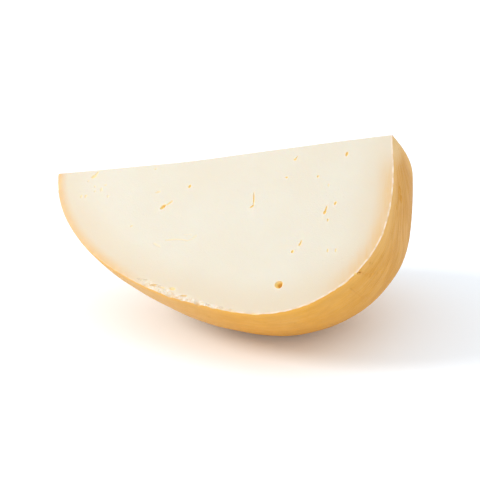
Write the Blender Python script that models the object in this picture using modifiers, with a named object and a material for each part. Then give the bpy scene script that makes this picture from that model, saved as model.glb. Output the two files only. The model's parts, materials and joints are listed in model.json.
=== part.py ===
"""A wedge of provolone, cut lengthwise from a whole round cheese and lying on its rind.

The whole cheese is a body turned about its long axis, with a blunt end and a narrower one.
Two knife cuts that meet on that axis leave the wedge: two D-shaped cut faces, with the rind between them.
Cheese frame: X along the axis, towards the blunt end, and -Z along the middle of the wedge. Metres, +Z up.
"""

import math
import random

import bmesh
import bpy
from mathutils import Matrix, Vector, noise

# The whole cheese: half its length, its greatest radius, and where along the axis that lies.
HALF_LENGTH = 0.090
BELLY_RADIUS = 0.0950
BELLY_AT = 0.0274
# How far the outline runs on, square to the axis at each end and along it on each side of the belly.
BLUNT_END_HANDLE = 0.0134
BLUNT_BELLY_HANDLE = 0.0774
NARROW_BELLY_HANDLE = 0.0359
NARROW_END_HANDLE = 0.0545

# The wedge, and how it lies: the blunt end is raised, and the rind is flattened where it bears.
WEDGE_ANGLE = math.radians(98.7)
BLUNT_END_RAISED = math.radians(10.8)
FLAT_SPOT_DEPTH = 0.0015

# Facets: the profile and each turn on the rind, and the cells of the two cut faces.
PROFILE_STEPS_PER_HALF = 27
TURN_STEPS = 116
FACE_CELL = 0.0050

# Relief of the rind and of the cut faces: how far it spreads and how high it stands.
RIND_LUMP_SPREAD = 0.042
RIND_LUMP_HEIGHT = 0.0006
RIND_WRINKLE_SPREAD = 0.013
RIND_WRINKLE_HEIGHT = 0.0003
FACE_WAVE_SPREAD = 0.035
FACE_WAVE_HEIGHT = 0.0003

# The top edge, where the cuts meet, stands a little proud at its ends and sags left of its middle.
EDGE_RISE = 0.0006
EDGE_SAG = 0.0020
EDGE_SAG_AT = -0.020
EDGE_SAG_SPREAD = 0.060
EDGE_SAG_REACH = 0.030

KNIFE_MARGIN = 0.012
HOLLOW_SUBDIVISIONS = 2

# Eyes and slits of the front face: name, along the axis, down from the top edge, length, width, depth, slant.
# Length is along the slant, which is measured from the axis, and positive where the right end is higher.
FRONT_EYES = (
    ("round_eye", 0.0347, 0.0798, 0.0040, 0.0038, 0.0030, 0),
    ("slanted_eye", -0.0298, 0.0275, 0.0040, 0.0020, 0.0016, 25),
    ("slanted_eye_tail", -0.0268, 0.0252, 0.0052, 0.0010, 0.0008, 38),
    ("small_eye_left", -0.0166, 0.0166, 0.0018, 0.0010, 0.0010, 70),
    ("long_slit", 0.0184, 0.0288, 0.0082, 0.0010, 0.0010, 92),
    ("long_slit_hook", 0.0177, 0.0332, 0.0026, 0.0012, 0.0010, 40),
    ("middle_slit", 0.0568, 0.0394, 0.0052, 0.0013, 0.0014, 75),
    ("middle_slit_end", 0.0563, 0.0408, 0.0022, 0.0018, 0.0016, 75),
    ("upper_eye_right", 0.0614, 0.0359, 0.0024, 0.0015, 0.0014, 70),
    ("small_eye_right", 0.0578, 0.0456, 0.0022, 0.0011, 0.0010, 85),
    ("low_slit", 0.0447, 0.0566, 0.0034, 0.0010, 0.0010, 72),
    ("low_eye", 0.0407, 0.0615, 0.0020, 0.0014, 0.0012, 20),
    ("corner_eye", 0.0664, 0.0075, 0.0030, 0.0017, 0.0014, 80),
    ("top_slit", 0.0397, 0.0070, 0.0026, 0.0010, 0.0010, 65),
    ("top_eye", 0.0351, 0.0176, 0.0016, 0.0013, 0.0010, 0),
    ("upper_eye", 0.0518, 0.0192, 0.0016, 0.0013, 0.0010, 0),
    ("edge_notch", -0.0698, 0.0042, 0.0028, 0.0022, 0.0014, 30),
)

# The eyes of the hidden face, drawn within these ranges. Along is in half lengths and down in radii.
BACK_EYES = 9
BACK_EYE_ALONG = (-0.7, 0.8)
BACK_EYE_DOWN = (0.12, 0.85)
BACK_EYE_LENGTH = (0.0016, 0.0046)
BACK_EYE_WIDTH = (0.0011, 0.0019)
BACK_EYE_DEPTH = (0.0010, 0.0016)
BACK_EYE_SLANT = (20, 100)

# The crumbly strip where the knife tore the front face along the rind.
EDGE_CHIPS = 9
EDGE_CHIPS_FROM = -0.036
EDGE_CHIPS_TO = 0.012
CHIP_LENGTH = (0.0035, 0.0070)
CHIP_WIDTH = (0.0012, 0.0022)
CHIP_DEPTH = (0.0004, 0.0008)
CHIP_FROM_RIND = (0.0012, 0.0030)
CHIP_SLANT = (-33, -17)

# Creases in the rind beside the front face: name, the two ends, width and depth.
# An end is its place along the axis and its angle round it, from the middle of the rind towards the front.
RIND_CREASES = (
    ("long_crease", (0.0752, 49), (0.0795, 37), 0.0024, 0.0007),
    ("short_crease", (0.0700, 43), (0.0712, 31), 0.0018, 0.0004),
)

PASTE_COLOUR = (0.90, 0.81, 0.66, 1.0)
RIND_COLOUR = (0.70, 0.38, 0.09, 1.0)
PASTE_ROUGHNESS = 0.55
RIND_ROUGHNESS = 0.45

PARTS = "provolone"
CUTTERS = "provolone_cutters"
MARKS = "provolone_marks"


def clear_scene():
    for obj in list(bpy.data.objects):
        bpy.data.objects.remove(obj, do_unlink=True)


def new_collection(name):
    collection = bpy.data.collections.new(name)
    bpy.context.scene.collection.children.link(collection)
    return collection


def make_material(name, colour, roughness):
    material = bpy.data.materials.new(name)
    material.use_nodes = True
    surface = material.node_tree.nodes["Principled BSDF"]
    surface.inputs["Base Color"].default_value = colour
    surface.inputs["Roughness"].default_value = roughness
    surface.inputs["Metallic"].default_value = 0.0
    return material


def object_from(bm, name, collection, parent, material):
    """A new object with the edited mesh, triangulated, since its relief leaves no flat quads."""
    bmesh.ops.recalc_face_normals(bm, faces=bm.faces)
    bmesh.ops.triangulate(bm, faces=bm.faces)
    mesh = bpy.data.meshes.new(name)
    bm.to_mesh(mesh)
    bm.free()
    mesh.materials.append(material)
    obj = bpy.data.objects.new(name, mesh)
    collection.objects.link(obj)
    obj.parent = parent
    return obj


def as_cutter(obj):
    obj.hide_render = True
    obj.display_type = "WIRE"
    return obj


def bezier(start, start_handle, end_handle, end, t):
    s = 1 - t
    return start * s**3 + start_handle * 3 * s * s * t + end_handle * 3 * s * t * t + end * t**3


def profile():
    """The cheese's outline from its blunt end to its narrow one, as (along the axis, radius)."""
    blunt_end = Vector((HALF_LENGTH, 0))
    belly = Vector((BELLY_AT, BELLY_RADIUS))
    narrow_end = Vector((-HALF_LENGTH, 0))
    out_of_blunt_end = blunt_end + Vector((0, BLUNT_END_HANDLE))
    into_belly = belly + Vector((BLUNT_BELLY_HANDLE, 0))
    out_of_belly = belly - Vector((NARROW_BELLY_HANDLE, 0))
    into_narrow_end = narrow_end + Vector((0, NARROW_END_HANDLE))
    shares = [step / PROFILE_STEPS_PER_HALF for step in range(PROFILE_STEPS_PER_HALF)]
    blunt_half = [bezier(blunt_end, out_of_blunt_end, into_belly, belly, share) for share in shares]
    narrow_half = [bezier(belly, out_of_belly, into_narrow_end, narrow_end, share) for share in shares]
    return blunt_half + narrow_half + [narrow_end]


def radius_at(along):
    """The whole cheese's radius at a place on its axis."""
    outline = profile()
    for before, after in zip(outline, outline[1:]):
        if after.x <= along < before.x:
            share = (along - after.x) / (before.x - after.x)
            return after.y + share * (before.y - after.y)
    return 0.0


def rind_relief(point):
    lumps = noise.noise(point / RIND_LUMP_SPREAD) * RIND_LUMP_HEIGHT
    # The fine wrinkles run round the cheese, so they are drawn out across its axis.
    stretched = Vector((point.x, point.y / 3, point.z / 3))
    wrinkles = noise.noise(stretched / RIND_WRINKLE_SPREAD) * RIND_WRINKLE_HEIGHT
    return lumps + wrinkles


def edge_dip(along):
    """How far the top edge lies under the axis."""
    return EDGE_SAG * math.exp(-(((along - EDGE_SAG_AT) / EDGE_SAG_SPREAD) ** 2)) - EDGE_RISE


def face_relief(along, down, face_number):
    """How far a cut face lies inside its plane."""
    waves = noise.noise(Vector((along, down, face_number)) / FACE_WAVE_SPREAD) * FACE_WAVE_HEIGHT
    fade = math.exp(-((down / EDGE_SAG_REACH) ** 2))
    return waves + edge_dip(along) * math.sin(WEDGE_ANGLE / 2) * fade


def make_whole_cheese(collection, parent, rind):
    """The profile turned about Z by a Screw, laid along X, with its relief."""
    outline = bpy.data.meshes.new("outline")
    points = profile()
    edges = [(i, i + 1) for i in range(len(points) - 1)]
    outline.from_pydata([(point.y, 0, point.x) for point in points], edges, [])
    lathe = bpy.data.objects.new("lathe", outline)
    collection.objects.link(lathe)
    turn = lathe.modifiers.new("turn", "SCREW")
    turn.axis = "Z"
    turn.angle = math.tau
    turn.steps = TURN_STEPS
    turn.render_steps = TURN_STEPS
    turn.use_merge_vertices = True
    turn.merge_threshold = 0.00001
    turned = bpy.data.meshes.new_from_object(lathe.evaluated_get(bpy.context.evaluated_depsgraph_get()))
    bpy.data.objects.remove(lathe, do_unlink=True)

    bm = bmesh.new()
    bm.from_mesh(turned)
    bmesh.ops.rotate(bm, verts=bm.verts, matrix=Matrix.Rotation(math.pi / 2, 3, "Y"))
    bmesh.ops.recalc_face_normals(bm, faces=bm.faces)
    raised = [vert.co + vert.normal * rind_relief(vert.co) for vert in bm.verts]
    for vert, place in zip(bm.verts, raised):
        vert.co = place
    return object_from(bm, "provolone_wedge", collection, parent, rind)


def make_face(name, collection, parent, side):
    """An empty on a cut face: X along the axis, +Z out of the cheese. Side is 1 in front and -1 behind."""
    face = bpy.data.objects.new(name, None)
    face.rotation_euler.x = side * (math.pi - WEDGE_ANGLE) / 2
    face.parent = parent
    collection.objects.link(face)
    return face


def make_knife(name, collection, face, side, paste):
    """A block whose underside is the cut face, and which covers all that the knife takes away."""
    reach = max(HALF_LENGTH, BELLY_RADIUS) + KNIFE_MARGIN
    bm = bmesh.new()
    cells = round(2 * reach / FACE_CELL)
    bmesh.ops.create_grid(bm, x_segments=cells, y_segments=cells, size=reach)
    top = bmesh.ops.extrude_face_region(bm, geom=list(bm.faces), use_keep_orig=True)
    lid = [item for item in top["geom"] if isinstance(item, bmesh.types.BMVert)]
    for vert in lid:
        vert.co.z = 2 * reach
    for vert in set(bm.verts) - set(lid):
        vert.co.z = -face_relief(vert.co.x, -side * vert.co.y, side)
    return as_cutter(object_from(bm, name, collection, face, paste))


def make_hollow(name, collection, parent, length, width, depth, material):
    """A lens that leaves a hollow of this length and width, and goes this deep."""
    shape = Matrix.Diagonal((length / 2, width / 2, depth, 1))
    bm = bmesh.new()
    bmesh.ops.create_icosphere(bm, subdivisions=HOLLOW_SUBDIVISIONS, radius=1, matrix=shape)
    return as_cutter(object_from(bm, name, collection, parent, material))


def set_in_face(hollow, side, along, down, slant):
    hollow.location = (along, -side * down, -face_relief(along, down, side))
    hollow.rotation_euler.z = math.radians(side * slant)


def make_front_eyes(collection, face, paste):
    for name, along, down, length, width, depth, slant in FRONT_EYES:
        eye = make_hollow(name, collection, face, length, width, depth, paste)
        set_in_face(eye, 1, along, down, slant)


def make_edge_chips(collection, face, paste):
    draw = random.Random(11)
    for number in range(EDGE_CHIPS):
        share = (number + draw.random()) / EDGE_CHIPS
        along = EDGE_CHIPS_FROM + share * (EDGE_CHIPS_TO - EDGE_CHIPS_FROM)
        down = radius_at(along) - draw.uniform(*CHIP_FROM_RIND)
        size = (draw.uniform(*CHIP_LENGTH), draw.uniform(*CHIP_WIDTH), draw.uniform(*CHIP_DEPTH))
        chip = make_hollow(f"edge_chip_{number}", collection, face, *size, paste)
        set_in_face(chip, 1, along, down, draw.uniform(*CHIP_SLANT))


def make_back_eyes(collection, face, paste):
    draw = random.Random(4)
    for number in range(BACK_EYES):
        along = HALF_LENGTH * draw.uniform(*BACK_EYE_ALONG)
        down = radius_at(along) * draw.uniform(*BACK_EYE_DOWN)
        size = (draw.uniform(*BACK_EYE_LENGTH), draw.uniform(*BACK_EYE_WIDTH), draw.uniform(*BACK_EYE_DEPTH))
        eye = make_hollow(f"back_eye_{number}", collection, face, *size, paste)
        set_in_face(eye, -1, along, down, draw.uniform(*BACK_EYE_SLANT))


def rind_point(along, degrees):
    angle = math.radians(degrees)
    radius = radius_at(along)
    return Vector((along, -radius * math.sin(angle), -radius * math.cos(angle)))


def make_rind_creases(collection, axis, rind):
    """Long narrow hollows that lie along the rind, sunk in by its own curve between their ends."""
    for name, start, end, width, depth in RIND_CREASES:
        first = rind_point(*start)
        last = rind_point(*end)
        middle = (first + last) / 2
        run = (last - first).normalized()
        outward = (middle - run * middle.dot(run)).normalized()
        crease = make_hollow(name, collection, axis, (last - first).length, width, depth, rind)
        turn = Matrix((run, outward.cross(run), outward)).transposed()
        crease.matrix_local = Matrix.Translation(middle) @ turn.to_4x4()


def make_floor(collection, rind):
    """The level on which the cheese flattens its rind: a block with its top at height 0."""
    side = 2 * HALF_LENGTH
    bm = bmesh.new()
    bmesh.ops.create_cube(bm, size=side)
    floor = as_cutter(object_from(bm, "floor_level", collection, None, rind))
    floor.location.z = -side / 2
    return floor


def cut(obj, name, cutter):
    step = obj.modifiers.new(name, "BOOLEAN")
    step.operation = "DIFFERENCE"
    step.solver = "EXACT"
    step.material_mode = "TRANSFER"
    if isinstance(cutter, bpy.types.Collection):
        step.operand_type = "COLLECTION"
        step.collection = cutter
    else:
        step.object = cutter


def world_reach(obj):
    """The lowest and highest X, Y and Z of an object as its modifiers leave it."""
    bpy.context.view_layer.update()
    evaluated = obj.evaluated_get(bpy.context.evaluated_depsgraph_get())
    mesh = evaluated.to_mesh()
    places = [evaluated.matrix_world @ vert.co for vert in mesh.vertices]
    evaluated.to_mesh_clear()
    return [(min(values), max(values)) for values in zip(*places)]


def stand_on_floor(axis, wedge):
    """Centres the wedge over the origin, sunk by the depth of its flat spot."""
    (left, right), (near, far), (bottom, _) = world_reach(wedge)
    axis.location = (-(left + right) / 2, -(near + far) / 2, -bottom - FLAT_SPOT_DEPTH)


def main():
    clear_scene()
    parts, cutters, marks = (new_collection(name) for name in (PARTS, CUTTERS, MARKS))
    paste = make_material("cheese_paste", PASTE_COLOUR, PASTE_ROUGHNESS)
    rind = make_material("golden_rind", RIND_COLOUR, RIND_ROUGHNESS)

    axis = bpy.data.objects.new("cheese_axis", None)
    axis.rotation_euler.y = -BLUNT_END_RAISED
    parts.objects.link(axis)
    wedge = make_whole_cheese(parts, axis, rind)

    front = make_face("front_face", cutters, axis, 1)
    back = make_face("back_face", cutters, axis, -1)
    cut(wedge, "front_cut", make_knife("front_knife", cutters, front, 1, paste))
    cut(wedge, "back_cut", make_knife("back_knife", cutters, back, -1, paste))
    stand_on_floor(axis, wedge)

    make_front_eyes(marks, front, paste)
    make_edge_chips(marks, front, paste)
    make_back_eyes(marks, back, paste)
    make_rind_creases(marks, axis, rind)
    cut(wedge, "marks", marks)
    cut(wedge, "flat_spot", make_floor(cutters, rind))


main()
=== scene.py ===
"""A wedge of provolone in its fine looks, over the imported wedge, in a plain pale studio.

The file is laid out as an add-on: its properties hold the sizes and colours that a user would change,
one operator cuts and finishes the wedge, and one sets the studio.

Cheese frame: X along the cheese's axis, towards its blunt end, and -Z along the middle of the wedge.
A place on a cut face is given by how far along the axis and how far down from the top edge it lies.
A place on the rind's blunt end is given by how far from the axis it lies and by its angle round it,
from the middle of the rind towards the front face. Everything is in metres.
"""

import functools
import json
import math
import random

import bmesh
import bpy
import numpy as np
from bpy.props import FloatProperty, FloatVectorProperty, PointerProperty
from mathutils import Matrix, Vector, noise

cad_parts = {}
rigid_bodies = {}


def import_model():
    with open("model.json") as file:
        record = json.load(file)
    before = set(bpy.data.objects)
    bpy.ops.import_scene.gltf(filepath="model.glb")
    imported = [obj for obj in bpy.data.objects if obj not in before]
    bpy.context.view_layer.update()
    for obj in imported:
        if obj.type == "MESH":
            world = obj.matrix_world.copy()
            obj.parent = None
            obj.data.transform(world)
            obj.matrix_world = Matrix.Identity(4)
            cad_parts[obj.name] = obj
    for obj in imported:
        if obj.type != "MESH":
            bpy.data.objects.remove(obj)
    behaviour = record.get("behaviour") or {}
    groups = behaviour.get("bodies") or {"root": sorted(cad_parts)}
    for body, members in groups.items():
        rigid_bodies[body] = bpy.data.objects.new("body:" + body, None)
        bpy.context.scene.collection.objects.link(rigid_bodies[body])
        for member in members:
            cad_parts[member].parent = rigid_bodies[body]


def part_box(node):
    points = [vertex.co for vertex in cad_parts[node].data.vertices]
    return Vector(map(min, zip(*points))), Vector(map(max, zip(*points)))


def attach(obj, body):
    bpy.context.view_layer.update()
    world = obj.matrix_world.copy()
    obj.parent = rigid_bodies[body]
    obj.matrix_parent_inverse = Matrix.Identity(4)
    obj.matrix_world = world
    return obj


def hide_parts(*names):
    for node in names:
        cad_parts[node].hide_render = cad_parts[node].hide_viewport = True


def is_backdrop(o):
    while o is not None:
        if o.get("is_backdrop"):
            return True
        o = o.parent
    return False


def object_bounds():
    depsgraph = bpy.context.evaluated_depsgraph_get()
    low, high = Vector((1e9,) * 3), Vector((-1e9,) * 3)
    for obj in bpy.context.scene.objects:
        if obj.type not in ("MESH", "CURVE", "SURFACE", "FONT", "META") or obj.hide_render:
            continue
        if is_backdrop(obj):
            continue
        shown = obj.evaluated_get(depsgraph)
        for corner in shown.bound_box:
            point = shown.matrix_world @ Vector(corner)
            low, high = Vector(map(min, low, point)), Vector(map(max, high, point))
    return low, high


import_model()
CAD_LOW, CAD_HIGH = (Vector(corner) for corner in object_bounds())

bl_info = {
    "name": "Provolone wedge",
    "version": (1, 0, 0),
    "blender": (4, 5, 0),
    "location": "3D View > Sidebar > Provolone",
    "description": "Cuts a wedge from a round provolone and sets it in a pale studio",
    "category": "Add Mesh",
}

WEDGE_NODE = "provolone_wedge"
BODY = "root"

# How far the whole cheese's outline runs on, square to the axis at each end and along it beside the belly.
BLUNT_END_HANDLE = 0.0134
BLUNT_BELLY_HANDLE = 0.0774
NARROW_BELLY_HANDLE = 0.0359
NARROW_END_HANDLE = 0.0545
PROFILE_STEPS_PER_HALF = 84
TURN_STEPS = 340

# Cells of the cut faces, and of the stretches of face and rind that hold fine relief.
FACE_CELL = 0.0020
RIM_CELL = 0.0005
MARK_CELL = 0.00028
CREASE_CELL = 0.0005
# Coarser than any face, so that it leaves the others as they are.
ANY_CELL = 1.0
# A side this many times longer than the wanted cell is halved.
COARSE_SIDE = 1.4
KNIFE_MARGIN = 0.012
# How far past the rind and the top edge a cut face is refined.
FACE_MARGIN = 0.002
HOLLOW_SUBDIVISIONS = 3

# Spread of the rind's relief, of the faces' waves and of the top edge's sag.
RIND_LUMP_SPREAD = 0.042
RIND_WRINKLE_SPREAD = 0.013
# Wrinkles are this many times longer round the cheese than along it.
RIND_WRINKLE_STRETCH = 3
# Ripples run from end to end: how many there are in one radian round the cheese, and how long they are.
RIND_RIPPLES_ROUND = 22
RIND_RIPPLE_LENGTH = 0.025
RIND_RIPPLE_HEIGHT = 0.00012
# Broad swells of the rind: along, radius and degrees, how far each of them spreads, and height.
RIND_SWELLS = {
    "front_rim_swell": (0.040, 0.094, 49, 0.018, 0.030, 14, 0.0016),
    "front_rim_dip": (-0.004, 0.092, 49, 0.014, 0.030, 12, -0.0012),
    "shoulder": (0.084, 0.0645, 6, 0.030, 0.0135, 34, 0.0019),
    "front_shoulder": (0.084, 0.060, 49, 0.030, 0.010, 16, 0.0004),
}
FACE_WAVE_SPREAD = 0.035
FACE_WAVE_HEIGHT = 0.0003
FACE_DRAG_SPREAD = (0.030, 0.0022)
FACE_DRAG_HEIGHT = 0.00003
EDGE_RISE = 0.0006
EDGE_SAG_AT = -0.020
EDGE_SAG_SPREAD = 0.060
EDGE_SAG_REACH = 0.030

# The worn rounding of the rims where the faces meet the rind and each other: how wide and how deep.
RIM_ROUND_WIDTH = 0.0007
RIM_ROUND_DEPTH = 0.00012
RIM_RAGGEDNESS = 2.5
RIM_RAGGED_SPREAD = 0.0026

# Eyes and slits of the front face: along, down, length, width, depth, slant in degrees, bend.
# Length is along the slant, which is measured from the axis, and positive where the right end is higher.
FRONT_EYES = {
    "round_eye": (0.0350, 0.0802, 0.0042, 0.0040, 0.0021, 0, 0.0),
    "slanted_eye": (-0.0297, 0.0274, 0.0035, 0.0019, 0.0011, 42, 0.0),
    "slanted_eye_tail": (-0.0263, 0.0254, 0.0040, 0.0011, 0.0004, 38, 0.1),
    "small_eye_left": (-0.0163, 0.0165, 0.0021, 0.0013, 0.0006, 70, 0.0),
    "long_slit": (0.0189, 0.0287, 0.0082, 0.0007, 0.0005, 92, 0.2),
    "long_slit_hook": (0.0182, 0.0331, 0.0026, 0.0010, 0.0007, 40, 0.2),
    "middle_slit": (0.0571, 0.0398, 0.0052, 0.0009, 0.0006, 75, 0.2),
    "middle_slit_end": (0.0566, 0.0412, 0.0022, 0.0014, 0.0008, 75, 0.0),
    "upper_eye_right": (0.0619, 0.0366, 0.0021, 0.0012, 0.0006, 70, 0.0),
    "small_eye_right": (0.0584, 0.0459, 0.0018, 0.0010, 0.0004, 85, 0.1),
    "low_slit": (0.0450, 0.0574, 0.0034, 0.0008, 0.0004, 72, 0.1),
    "low_slit_end": (0.0446, 0.0582, 0.0018, 0.0012, 0.0005, 72, 0.0),
    "low_eye": (0.0410, 0.0619, 0.0017, 0.0014, 0.0006, 80, 0.0),
    "corner_eye": (0.0667, 0.0083, 0.0027, 0.0014, 0.0007, 80, 0.1),
    "top_slit": (0.0402, 0.0071, 0.0030, 0.0007, 0.0003, 65, 0.1),
    "top_slit_end": (0.0395, 0.0077, 0.0014, 0.0012, 0.0005, 20, 0.0),
    "top_eye": (0.0356, 0.0180, 0.0014, 0.0012, 0.0005, 0, 0.0),
    "upper_eye": (0.0522, 0.0197, 0.0015, 0.0012, 0.0004, 80, 0.0),
    "edge_notch": (-0.0697, 0.0042, 0.0030, 0.0017, 0.0004, 20, 0.0),
    "edge_notch_branch": (-0.0684, 0.0027, 0.0034, 0.0012, 0.0003, 52, 0.0),
    "faint_mark_left": (0.0591, 0.0634, 0.0022, 0.0010, 0.00028, 85, 0.0),
    "faint_mark_right": (0.0632, 0.0637, 0.0020, 0.0009, 0.00028, 85, 0.0),
    "rim_mark": (0.0740, 0.0781, 0.0022, 0.0010, 0.0006, 10, 0.0),
    "faint_mark_upper": (0.0579, 0.0256, 0.0016, 0.0009, 0.0002, 80, 0.0),
    "tip_mark_left": (-0.0755, 0.0158, 0.0020, 0.0013, 0.0002, 80, 0.0),
    "tip_mark_right": (-0.0730, 0.0159, 0.0020, 0.0013, 0.0002, 80, 0.0),
    "tip_pit_a": (-0.0686, 0.0104, 0.0012, 0.0010, 0.00018, 60, 0.0),
    "tip_pit_b": (-0.0683, 0.0134, 0.0012, 0.0010, 0.00018, 60, 0.0),
    "tip_pit_c": (-0.0648, 0.0128, 0.0024, 0.0016, 0.00018, 80, 0.0),
    "tip_pit_d": (-0.0627, 0.0101, 0.0013, 0.0012, 0.00015, 60, 0.0),
    "tip_pit_e": (-0.0607, 0.0174, 0.0015, 0.0012, 0.00015, 60, 0.0),
    "tip_pit_f": (-0.0725, 0.0067, 0.0012, 0.0010, 0.00015, 60, 0.0),
    "faint_eye_left": (-0.0458, 0.0372, 0.0015, 0.0011, 0.0002, 20, 0.0),
    "faint_eye_middle": (-0.0333, 0.0179, 0.0028, 0.0012, 0.0002, 10, 0.0),
    "faint_eye_top": (-0.0359, 0.0034, 0.0014, 0.0010, 0.0002, 20, 0.0),
    "torn_pit_a": (-0.0310, 0.0735, 0.0046, 0.0013, 0.0006, -8, 0.2),
    "torn_pit_b": (-0.0263, 0.0753, 0.0034, 0.0008, 0.0003, -14, 0.0),
    "torn_pit_c": (-0.0204, 0.0767, 0.0034, 0.0016, 0.0004, -18, 0.2),
    "torn_pit_d": (-0.0143, 0.0813, 0.0040, 0.0009, 0.0005, -10, 0.0),
}
# How uneven a hollow is, how fine its lumps are, and what keeps two hollows from having the same ones.
EYE_UNEVENNESS = 0.15
EYE_LUMP = 1.1
EYE_SEED_SPREAD = 9000
LIP_WIDTH = 0.0007
LIP_HEIGHT = 0.00016
# The lips rise highest to the right of and below an eye, where their painted highlight is also brightest.
LIP_LEAST_SHARE = 0.25
# Eyes this deep have the whole height of lip and the whole painted golden glow.
FULL_LIP_DEPTH = 0.0009
FULL_EYE_GLOW_DEPTH = 0.0006
EYE_GLOW_POWER = 0.8
# Over which share of an eye's half width the lip rises, and the painted glow fades.
LIP_STARTS = (0.7, 1.0)
EYE_GLOW_ENDS = (0.90, 1.20)
# How far a hollow's middle stands out of the face, as a share of its own half height.
BOWL_RISE = 0.5
# How far a hollow leans along its length as it goes down.
BOWL_LEAN = 0.5
# A hollow longer than this takes one more subdivision.
LARGE_HOLLOW = 0.0035

# The eyes of the hidden face, drawn within these ranges. Along is in half lengths and down in radii.
BACK_EYE_SEED = 4
BACK_EYES = 9
BACK_EYE_ALONG = (-0.7, 0.8)
BACK_EYE_DOWN = (0.12, 0.85)
BACK_EYE_LENGTH = (0.0016, 0.0046)
BACK_EYE_WIDTH = (0.0011, 0.0019)
BACK_EYE_DEPTH = (0.0006, 0.0011)
BACK_EYE_SLANT = (20, 100)
BACK_EYE_BEND = 0.1

# Layers of noise, one for each kind of fine relief, so that none repeats another.
RIM_LAYER = 1
CRUMB_LAYER = 3
LUMP_LAYER = 5
TEAR_LAYER = 7
BITE_LAYER = 9

# The crumbly strip where the knife tore the front face along the rind.
TORN_FROM = -0.039
TORN_TO = 0.011
TORN_WIDTH = (0.0048, 0.0016)
TORN_RAGGEDNESS = 0.0012
TORN_RAGGED_SPREAD = 0.0035
# How far in from its two ends the strip fades, and over which share of its width.
TORN_FADES = (0.006, 0.010)
TORN_LIMIT = (0.6, 1.0)
CRUMB_SPREAD = 0.0013
CRUMB_HEIGHT = 0.00034
FINE_CRUMB_SHARE = 0.5
LUMP_SPREAD = 2.7 * CRUMB_SPREAD
LEAST_CRUMB = 0.2
# Bites out of the torn strip's rim: how long, wide and deep, and the noise above which there is one.
BITE_SPREAD = 0.0032
BITE_WIDTH = 0.0022
BITE_DEPTH = 0.0026
BITE_THRESHOLD = 0.05
# The share of such bites that all rims have.
NICK_SHARE = 0.25
CHIP_SEED = 11
EDGE_CHIPS = 30
CHIP_LENGTH = (0.0012, 0.0042)
CHIP_WIDTH = (0.0006, 0.0012)
CHIP_DEPTH = (0.00025, 0.00045)
CHIP_SLANT = (-36, -12)
CHIP_BEND = 0.2
# How far a chip lies above the rind, as a share of the torn strip's width there.
CHIP_PLACE = (0.1, 1.0)

# Drag marks on the front face: half width, depth at the first and last point, and points as along, down.
FACE_CREASES = {
    "drag_mark": (
        0.0005, 0.00014, 0.00010,
        ((-0.0263, 0.0478), (-0.0222, 0.0477), (-0.0179, 0.0483), (-0.0147, 0.0493), (-0.0123, 0.0486),
         (-0.0101, 0.0466)),
    ),
    "left_drag_mark": (0.0007, 0.00010, 0.00008, ((-0.0325, 0.0491), (-0.0308, 0.0504), (-0.0294, 0.0512))),
    "upper_drag_mark": (0.0005, 0.00006, 0.00006, ((-0.0168, 0.0456), (-0.0130, 0.0460))),
}
# Creases and pits in the rind's blunt end: the same, with points as radius and degrees.
RIND_CREASES = {
    "crease_head": (0.0006, 0.0006, 0.0005, ((0.0774, 48.6), (0.0763, 47.4))),
    "long_crease": (
        0.0006, 0.00036, 0.00014,
        ((0.0763, 47.4), (0.0750, 43.8), (0.0727, 40.0), (0.0701, 36.5), (0.0690, 32.6)),
    ),
    "short_crease": (
        0.0007, 0.00032, 0.0002,
        ((0.0822, 44.6), (0.0816, 38.5), (0.0812, 33.3), (0.0810, 26.1)),
    ),
    "upper_pit": (0.0009, 0.0007, 0.0006, ((0.0265, 24.3), (0.0280, 20.3))),
    "middle_pit": (0.0009, 0.0008, 0.0008, ((0.0300, 24.2), (0.0310, 20.2))),
    "lower_pit": (0.0009, 0.0007, 0.0007, ((0.0320, 23.5), (0.0328, 19.5))),
    "side_pit": (0.0008, 0.0005, 0.0005, ((0.0370, 36.2), (0.0380, 34.2))),
}
# The lips beside a crease: their height as a share of its depth, and how far out they are, in half widths.
CREASE_LIP_SHARE = 0.35
CREASE_LIP_AT = 1.8
# How many half widths a crease's relief goes out.
CREASE_REACH = 4
# A crease that starts further off than this can't reach a place.
LONGEST_CREASE = 0.06
# A drag mark this deep has its whole painted golden shade.
DRAG_MARK_DEPTH = 0.00016

SHARP_ANGLE = math.radians(40)

# How the nodes of a material are laid out in the editor.
NODE_WIDTH = 220
NODE_HEIGHT = 320
NODES_IN_ROW = 9
ORIGIN = (0.0, 0.0, 0.0)

# Keeps a division from having nothing below it.
TINY = 1e-6

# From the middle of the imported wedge's box to the camera's aim.
STUDIO_AIM_OFFSET = (0.0053, -0.0001, -0.0102)


def colour_property(name, description, default):
    return FloatVectorProperty(name=name, description=description, subtype="COLOR", default=default)


def length_property(name, description, default):
    return FloatProperty(name=name, description=description, unit="LENGTH", default=default)


def angle_property(name, description, degrees):
    return FloatProperty(name=name, description=description, subtype="ANGLE", default=math.radians(degrees))


def strength_property(name, description, default):
    return FloatProperty(name=name, description=description, min=0, default=default)


def factor_property(name, description, default):
    return FloatProperty(name=name, description=description, subtype="FACTOR", min=0, max=1, default=default)


class ProvoloneSize(bpy.types.PropertyGroup):
    """The whole cheese's outline, the wedge's cuts and how the wedge lies."""

    half_length: length_property("Half length", "Half the whole cheese's length along its axis", 0.090)
    belly_radius: length_property("Belly radius", "The whole cheese's greatest radius", 0.0950)
    belly_at: length_property(
        "Belly place", "Where the greatest radius lies, from the middle towards the blunt end", 0.0274
    )
    wedge_angle: angle_property("Wedge angle", "The angle between the two cut faces", 98.7)
    blunt_end_raised: angle_property(
        "Blunt end raised", "How far the cheese's axis is tilted, with the blunt end up", 10.8
    )
    flat_spot_depth: length_property(
        "Flat spot depth", "How far the rind is flattened where the wedge lies on it", 0.0015
    )
    edge_sag: length_property("Top edge sag", "How far the top edge sags left of its middle", 0.0020)


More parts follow.
